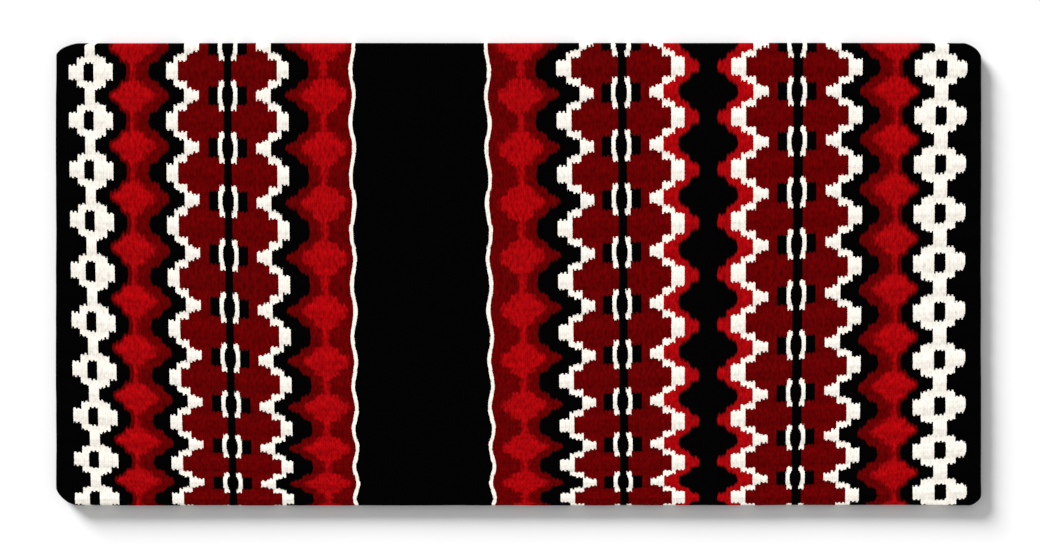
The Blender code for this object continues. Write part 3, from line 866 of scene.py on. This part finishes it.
def make_wool_group():
    """Wool yarn: varies a dye along the yarns, and paints shade into the grooves between beads."""
    wires, given = new_group(
        "wool_yarn", ("Dye", "Height", "Streak", "Fleck"), ("Colour", "Roughness"))
    spread = wires.off_even(given["Streak"], STREAK_DEPTH)
    speck = wires.off_even(given["Fleck"], SPECK_DEPTH)
    parts = wires.node("ShaderNodeSeparateColor", {0: given["Dye"]})
    depth = wires.math("MULTIPLY_ADD", parts.outputs[1], PALE_DEPTH, 1)
    vary = wires.math("MULTIPLY", wires.math("ADD", spread, speck), depth)
    # Painted shade: the colour darkens where the bead's height falls below its crown, in the
    # grooves between beads
    groove_shade = wires.math("MULTIPLY", wires.math("SUBTRACT", 1, given["Height"]), GROOVE_SHADE_DEPTH)
    groove_shade = wires.math("MULTIPLY", wires.math("MINIMUM", groove_shade, 0), depth)
    level = wires.math("ADD", 1, wires.math("ADD", vary, groove_shade))
    grey = wires.node("ShaderNodeCombineColor", {0: level, 1: level, 2: level})
    colour = wires.mix(1, given["Dye"], grey.outputs[0], "MULTIPLY")
    roughness = wires.math("MULTIPLY_ADD", given["Streak"], MORE_ROUGHNESS, LEAST_ROUGHNESS)
    wires.node("NodeGroupOutput", {"Colour": colour, "Roughness": roughness})


def weave_black(wires, beads, share):
    """Plain black ground."""
    return dye("black")


def weave_line(wires, beads, share):
    """A ragged cream line that weaves to and fro between the dark red and the black."""
    turn = wires.math("COSINE", wires.math("MULTIPLY", share, 2 * math.pi))
    from_line = wires.math("MULTIPLY_ADD", turn, LINE_WAVE, beads.outputs["Across"])
    half = wires.math("MULTIPLY_ADD", beads.outputs["Fleck"], LINE_RAGGED, LINE_LEAST)
    ground = wires.mix(
        wires.math("GREATER_THAN", from_line, 0), dye("dark_red"), dye("black"))
    line = wires.math("LESS_THAN", wires.math("ABSOLUTE", from_line), half)
    return wires.mix(line, ground, dye("cream"))


def weave_chain(steps, eye_steps):
    """A cream chain with black eyes on a black ground."""
    def chain(wires, beads, share):
        across = beads.outputs["Across"]
        link = wires.math("LESS_THAN", share, wires.steps(across, CHART_SPAN, steps))
        eye = wires.math("LESS_THAN", share, wires.steps(across, CHART_SPAN, eye_steps))
        cream = wires.math("MULTIPLY", link, wires.math("SUBTRACT", 1, eye))
        return wires.mix(cream, dye("black"), dye("cream"))
    return chain


def inside(wires, share, away, outline, fade=FADE):
    """How far a point has passed a soft outline, from 0 before it to 1 past it."""
    past = wires.math("SUBTRACT", share, wires.curve(away, CHART_SPAN, outline, -1, 1))
    return wires.ease(past, fade)


def bright_edge(wires, beads, share, edges):
    """Distance from the middle of a motif where its bright red ends, with ragged yarns."""
    edge = wires.curve(share, 1, edges, -CHART_SPAN, CHART_SPAN)
    return wires.off_even(beads.outputs["Streak"], BRIGHT_RAGGED, edge)


def weave_outer_red(wires, beads, share):
    """Red tufts on a black ground, shaded from bright to dark red."""
    across = beads.outputs["Across"]
    tuft = inside(wires, share, across, OUTER_RED_OUTLINE)
    left = inside(wires, share, wires.math("MULTIPLY", across, -1), OUTER_BRIGHT_OUTLINE)
    left = wires.math("MAXIMUM", left, wires.math("GREATER_THAN", across, 0))
    before = wires.math("SUBTRACT", bright_edge(wires, beads, share, OUTER_BRIGHT_EDGE), across)
    bright = wires.math("MULTIPLY", left, wires.ease(before, OUTER_BRIGHT_FADE))
    red = wires.mix(bright, dye("dark_red"), dye("red"))
    return wires.mix(tuft, dye("black"), red)


def weave_inner_red(wires, beads, share):
    """Bright red tufts on a dark red ground, with a stepped black gap on the medallion's side."""
    across = beads.outputs["Across"]
    ground = inside(wires, share, wires.math("ABSOLUTE", across), GROUND_OUTLINE)
    ground = wires.math("MAXIMUM", ground, wires.math("GREATER_THAN", across, 0))
    before = wires.math("ADD", across, bright_edge(wires, beads, share, OTHER_BRIGHT_EDGE))
    behind = wires.math("SUBTRACT", bright_edge(wires, beads, share, INNER_BRIGHT_EDGE), across)
    bright = wires.math(
        "MULTIPLY", wires.ease(before, GROUND_SIDE_FADE), wires.ease(behind, INNER_BRIGHT_FADE))
    red = wires.mix(bright, dye("dark_red"), dye("red"))
    return wires.mix(ground, dye("black"), red)


def weave_medallion(kind):
    """Dark red medallions in a cream zigzag, with a black line, cream bars and black squares."""
    def medallion(wires, beads, share):
        black, cream = dye("black"), dye("cream")
        across = beads.outputs["Across"]
        from_core = wires.math("ABSOLUTE", wires.math("SUBTRACT", across, kind.shift))
        outside = black
        if kind.outlined:
            outside = wires.mix(wires.math("GREATER_THAN", across, 0), black, dye("red"))
        zigzag = wires.math("LESS_THAN", share, wires.steps(across, 2 * CHART_SPAN, kind.zigzag))
        field = wires.math("LESS_THAN", share, wires.steps(across, 2 * CHART_SPAN, kind.field))
        square = wires.math("GREATER_THAN", share, wires.steps(from_core, CHART_SPAN, SQUARE_STEPS))
        bar = wires.math("GREATER_THAN", share, wires.steps(from_core, CHART_SPAN, BAR_STEPS))
        notch = wires.steps(from_core, CHART_SPAN, BAR_NOTCH_STEPS)
        notch = wires.math("GREATER_THAN", share, notch)
        line = wires.math("GREATER_THAN", across, kind.line_from)
        line = wires.math("MULTIPLY", line, wires.math("LESS_THAN", across, kind.line_to))
        colour = wires.mix(zigzag, outside, cream)
        colour = wires.mix(field, colour, dye("dark_red"))
        colour = wires.mix(square, colour, black)
        colour = wires.mix(line, colour, black)
        colour = wires.mix(bar, colour, cream)
        return wires.mix(notch, colour, black)
    return medallion


def weave_diamond(wires, beads, share):
    """Black diamonds with a red outline."""
    away = wires.math(
        "ABSOLUTE", wires.math("SUBTRACT", beads.outputs["Across"], DIAMOND_SHIFT))
    diamond = inside(wires, share, away, DIAMOND_OUTLINE, DIAMOND_FADE)
    return wires.mix(diamond, dye("red"), dye("black"))


FINISHES = {
    "black": weave_black,
    "line": weave_line,
    "front_chain": weave_chain(FRONT_CHAIN_STEPS, FRONT_EYE_STEPS),
    "rear_chain": weave_chain(REAR_CHAIN_STEPS, REAR_EYE_STEPS),
    "outer_red": weave_outer_red,
    "inner_red": weave_inner_red,
    "front_medallion": weave_medallion(FRONT_MEDALLION),
    "fore_medallion": weave_medallion(FORE_MEDALLION),
    "aft_medallion": weave_medallion(AFT_MEDALLION),
    "diamond": weave_diamond,
}


def new_material(name):
    """A material with an empty tree, and its wiring."""
    material = bpy.data.materials.new(name)
    material.use_nodes = True
    material.node_tree.nodes.clear()
    return material, Wiring(material.node_tree)


def finish_wool(wires, yarn, relief, depth):
    """Shade a wool from its yarn's colour and roughness, over a relief of some depth."""
    bump = wires.node(
        "ShaderNodeBump", {"Strength": depth[0], "Distance": depth[1], "Height": relief})
    shader = wires.node("ShaderNodeBsdfPrincipled", {
        "Base Color": yarn.outputs["Colour"], "Roughness": yarn.outputs["Roughness"],
        "Normal": bump.outputs["Normal"], "Specular IOR Level": WOOL_SPECULAR})
    wires.node("ShaderNodeOutputMaterial", {"Surface": shader.outputs[0]})


def wool(finish):
    """The wool material of a kind of stripe, made when it is first wanted."""
    name = finish + "_weave"
    if name in bpy.data.materials:
        return bpy.data.materials[name]
    material, wires = new_material(name)
    count = wires.node("ShaderNodeUVMap", uv_map="yarn")
    beads = wires.group("weft_beads", count=count.outputs[0])
    share = wires.group("motif_share", repeat=beads.outputs["Repeat"]).outputs["Share"]
    height = beads.outputs["Height"]
    yarn = wires.group(
        "wool_yarn", dye=FINISHES[finish](wires, beads, share), height=height,
        streak=beads.outputs["Streak"], fleck=beads.outputs["Fleck"])
    relief = wires.math("MULTIPLY_ADD", beads.outputs["Swell"], SWELL_RELIEF, height)
    finish_wool(wires, yarn, relief, BEAD_BUMP)
    return material


def plied_wool():
    """Black wool with its fibres running along a cord."""
    name = "plied_wool"
    if name in bpy.data.materials:
        return bpy.data.materials[name]
    material, wires = new_material(name)
    place = wires.node("ShaderNodeTexCoord").outputs["Object"]
    fibres = wires.node("ShaderNodeMapping", {"Vector": place, "Scale": CORD_FIBRES})
    hair = wires.node("ShaderNodeTexNoise", {"Vector": fibres.outputs[0], "Scale": 1}).outputs[0]
    # The hair noise also paints shade into the cord's colour where it runs low
    yarn = wires.group("wool_yarn", dye=dye("black"), height=hair, streak=hair, fleck=0.5)
    finish_wool(wires, yarn, hair, CORD_BUMP)
    return material


# Operators


class BLANKET_OT_make_wool(bpy.types.Operator):
    """Make the shared node groups of the wool."""

    bl_idname = "blanket.make_wool"
    bl_label = "Wool"

    def execute(self, context):
        make_weave_group()
        make_share_group()
        make_wool_group()
        return {"FINISHED"}


class BLANKET_OT_weave_borders(bpy.types.Operator):
    """Weave the black borders at the front and rear edges."""

    bl_idname = "blanket.weave_borders"
    bl_label = "Borders"

    def execute(self, context):
        weave_stripes(("front_border", "rear_border"))
        return {"FINISHED"}


class BLANKET_OT_weave_chains(bpy.types.Operator):
    """Weave the cream chains with their black eyes."""

    bl_idname = "blanket.weave_chains"
    bl_label = "Chains"

    def execute(self, context):
        weave_stripes(("front_chain", "rear_chain"))
        return {"FINISHED"}


class BLANKET_OT_weave_reds(bpy.types.Operator):
    """Weave the four stripes of red tufts."""

    bl_idname = "blanket.weave_reds"
    bl_label = "Red tufts"

    def execute(self, context):
        names = ("front_outer_red", "front_inner_red", "rear_inner_red", "rear_outer_red")
        weave_stripes(names)
        return {"FINISHED"}


class BLANKET_OT_weave_medallions(bpy.types.Operator):
    """Weave the three stripes of dark red medallions in their cream zigzags."""

    bl_idname = "blanket.weave_medallions"
    bl_label = "Medallions"

    def execute(self, context):
        names = ("front_medallion", "rear_medallion_fore", "rear_medallion_aft")
        weave_stripes(names)
        return {"FINISHED"}


class BLANKET_OT_weave_diamonds(bpy.types.Operator):
    """Weave the stripe of black diamonds."""

    bl_idname = "blanket.weave_diamonds"
    bl_label = "Diamonds"

    def execute(self, context):
        weave_stripes(("rear_diamond",))
        return {"FINISHED"}


class BLANKET_OT_weave_saddle_field(bpy.types.Operator):
    """Weave the plain black field under the saddle, and the cream lines along it."""

    bl_idname = "blanket.weave_saddle_field"
    bl_label = "Saddle field"

    def execute(self, context):
        lines = weave_stripes(("front_line", "rear_line"))
        weave_stripes(("saddle_field",))
        return {"FINISHED"}


class BLANKET_OT_lay_selvages(bpy.types.Operator):
    """Lay the cord inside each hem."""

    bl_idname = "blanket.lay_selvages"
    bl_label = "Selvage cords"

    def execute(self, context):
        for flap in (1, -1):
            lay_selvage_cord(flap)
        return {"FINISHED"}


class BLANKET_OT_set_stage(bpy.types.Operator):
    """Set the floor, the lamps and the camera."""

    bl_idname = "blanket.set_stage"
    bl_label = "Stage"

    def execute(self, context):
        context.scene.view_settings.view_transform = "Standard"
        self.light(self.lay_floor())
        self.place_camera()
        return {"FINISHED"}

    def lay_floor(self):
        """A plain pale floor under the blanket."""
        shape = bmesh.new()
        bmesh.ops.create_grid(shape, x_segments=1, y_segments=1, size=FLOOR_SIZE)
        bmesh.ops.translate(shape, vec=(0, 0, FLOOR_Z - FLOOR_GAP), verts=shape.verts)
        paper = bpy.data.materials.new("pale_floor")
        paper.use_nodes = True
        shader = paper.node_tree.nodes["Principled BSDF"]
        shader.inputs["Base Color"].default_value = (FLOOR_GREY, FLOOR_GREY, FLOOR_GREY, 1)
        shader.inputs["Roughness"].default_value = 1
        shader.inputs["Specular IOR Level"].default_value = 0
        floor = show("floor", shape, paper)
        return floor

    def light(self, floor):
        """Even light from all round, a soft key on the blanket and a wash on the floor alone."""
        world = bpy.data.worlds.new("studio")
        bpy.context.scene.world = world
        world.use_nodes = True
        background = world.node_tree.nodes["Background"]
        background.inputs["Color"].default_value = (1, 1, 1, 1)
        background.inputs["Strength"].default_value = STUDIO_LIGHT

        blanket_only = bpy.data.collections.new("all_but_floor")
        blanket_only.objects.link(floor)
        blanket_only.collection_objects[0].light_linking.link_state = "EXCLUDE"
        floor_only = bpy.data.collections.new("floor_only")
        floor_only.objects.link(floor)
        self.sun(SOFT_KEY).light_linking.receiver_collection = blanket_only
        self.sun(FLOOR_WASH).light_linking.receiver_collection = floor_only

    def sun(self, lamp):
        """A soft sun that shines from a direction."""
        light = bpy.data.lights.new(lamp.name, "SUN")
        light.energy = lamp.strength
        light.angle = math.radians(lamp.spread)
        holder = put(lamp.name, light)
        holder.rotation_euler = Vector(lamp.towards).to_track_quat("Z", "Y").to_euler()
        return holder

    def place_camera(self):
        """A camera straight above, so far away that a pixel of the photograph is its size."""
        camera = bpy.data.cameras.new("camera")
        camera.lens = CAMERA_LENS
        camera.sensor_width = SENSOR_WIDTH
        camera.clip_end = FAR_CLIP
        seat = put("camera", camera)
        pixel = MM_PER_PIXEL * MM
        away = CAMERA_LENS / SENSOR_WIDTH * PHOTO_WIDTH * pixel
        shift = AIM_SHIFT * pixel
        seat.location = (MIDDLE_X + shift, (HEM_Y + CREST_Y) / 2 - shift, TOP_Z + away)
        bpy.context.scene.camera = seat


class BLANKET_PT_panel(bpy.types.Panel):
    """Lists the blanket's steps, sizes and colours."""

    bl_idname = "BLANKET_PT_panel"
    bl_label = "Saddle blanket"
    bl_space_type = "VIEW_3D"
    bl_region_type = "UI"
    bl_category = "Blanket"

    def draw(self, context):
        layout = self.layout
        for settings in (context.scene.blanket_sizes, context.scene.blanket_colours):
            box = layout.box()
            for name in settings.__annotations__:
                box.prop(settings, name)
        for operator in STEPS:
            layout.operator(operator.bl_idname)


STEPS = (
    BLANKET_OT_make_wool,
    BLANKET_OT_weave_borders,
    BLANKET_OT_weave_chains,
    BLANKET_OT_weave_reds,
    BLANKET_OT_weave_medallions,
    BLANKET_OT_weave_diamonds,
    BLANKET_OT_weave_saddle_field,
    BLANKET_OT_lay_selvages,
    BLANKET_OT_set_stage,
)
CLASSES = (BlanketSizes, BlanketColours, *STEPS, BLANKET_PT_panel)


def register():
    """Register the classes and the scene's settings."""
    for kind in CLASSES:
        bpy.utils.register_class(kind)
    bpy.types.Scene.blanket_sizes = bpy.props.PointerProperty(type=BlanketSizes)
    bpy.types.Scene.blanket_colours = bpy.props.PointerProperty(type=BlanketColours)


def unregister():
    """Take back what register did."""
    del bpy.types.Scene.blanket_colours
    del bpy.types.Scene.blanket_sizes
    for kind in reversed(CLASSES):
        bpy.utils.unregister_class(kind)


def main():
    """Weave the blanket and set its stage."""
    register()
    bpy.ops.blanket.make_wool()
    bpy.ops.blanket.weave_borders()
    bpy.ops.blanket.weave_chains()
    bpy.ops.blanket.weave_reds()
    bpy.ops.blanket.weave_medallions()
    bpy.ops.blanket.weave_diamonds()
    bpy.ops.blanket.weave_saddle_field()
    bpy.ops.blanket.lay_selvages()
    bpy.ops.blanket.set_stage()


if __name__ == "__main__":
    main()
